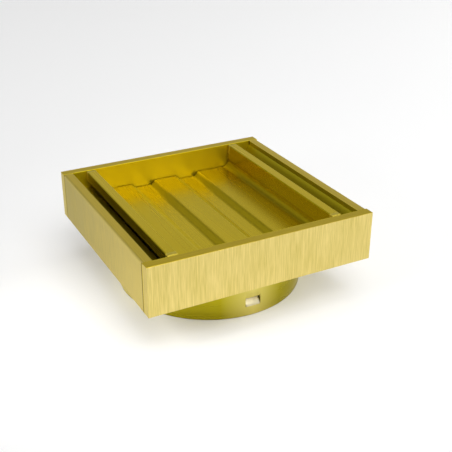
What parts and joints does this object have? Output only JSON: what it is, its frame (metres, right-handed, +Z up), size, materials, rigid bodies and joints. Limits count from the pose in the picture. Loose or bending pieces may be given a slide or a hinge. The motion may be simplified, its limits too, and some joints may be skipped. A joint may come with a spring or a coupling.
{
  "type": "floor drain grate",
  "caption": "Square floor drain grate with a lift-out tile tray, two side slots and a round outlet spigot that holds a strainer.",
  "frame": {"origin": "centre of the outlet spigot's bottom rim", "axes": "+X along the front bar to the right, +Y to the back, +Z up out of the floor"},
  "size_m": [0.11, 0.11, 0.0436],
  "materials": {
    "frame_gold": "vertically brushed, gold coloured",
    "tray_gold": "satin sheet, gold coloured",
    "gutter_gold": "satin sheet, gold coloured",
    "spigot_gold": "satin tube, gold coloured",
    "base_gold": "satin sheet, gold coloured",
    "bracket_steel": "mill finish",
    "strainer_steel": "satin",
    "screw_steel": "bright",
    "foot_rubber": "matt"
  },
  "bodies": {
    "frame": {"back_bar": "frame_gold", "base_plate": "base_gold", "base_screws": "screw_steel", "bracket_screws": "screw_steel", "corner_bracket_back_left": "bracket_steel", "corner_bracket_back_right": "bracket_steel", "corner_bracket_front_left": "bracket_steel", "corner_bracket_front_right": "bracket_steel", "front_bar": "frame_gold", "left_bar": "frame_gold", "left_gutter": "gutter_gold", "outlet_spigot": "spigot_gold", "right_bar": "frame_gold", "right_gutter": "gutter_gold", "tray_rest_back_left": "bracket_steel", "tray_rest_back_right": "bracket_steel", "tray_rest_front_left": "bracket_steel", "tray_rest_front_right": "bracket_steel"},
    "tray": {"rail_end_cap_back_left": "tray_gold", "rail_end_cap_back_right": "tray_gold", "rail_end_cap_front_left": "tray_gold", "rail_end_cap_front_right": "tray_gold", "tray_foot_back_left": "foot_rubber", "tray_foot_back_right": "foot_rubber", "tray_foot_front_left": "foot_rubber", "tray_foot_front_right": "foot_rubber", "tray_pan": "tray_gold"},
    "strainer": {"strainer_disc": "strainer_steel", "strainer_knob": "strainer_steel", "strainer_screw": "screw_steel"}
  },
  "joints": [
    {"name": "tray_lift", "type": "slide", "parent": "frame", "child": "tray", "axis": [0, 0, 1], "range_m": [0, 0.045]},
    {"name": "strainer_lift", "type": "slide", "parent": "frame", "child": "strainer", "axis": [0, 0, 1], "range_m": [0, 0.01]}
  ]
}
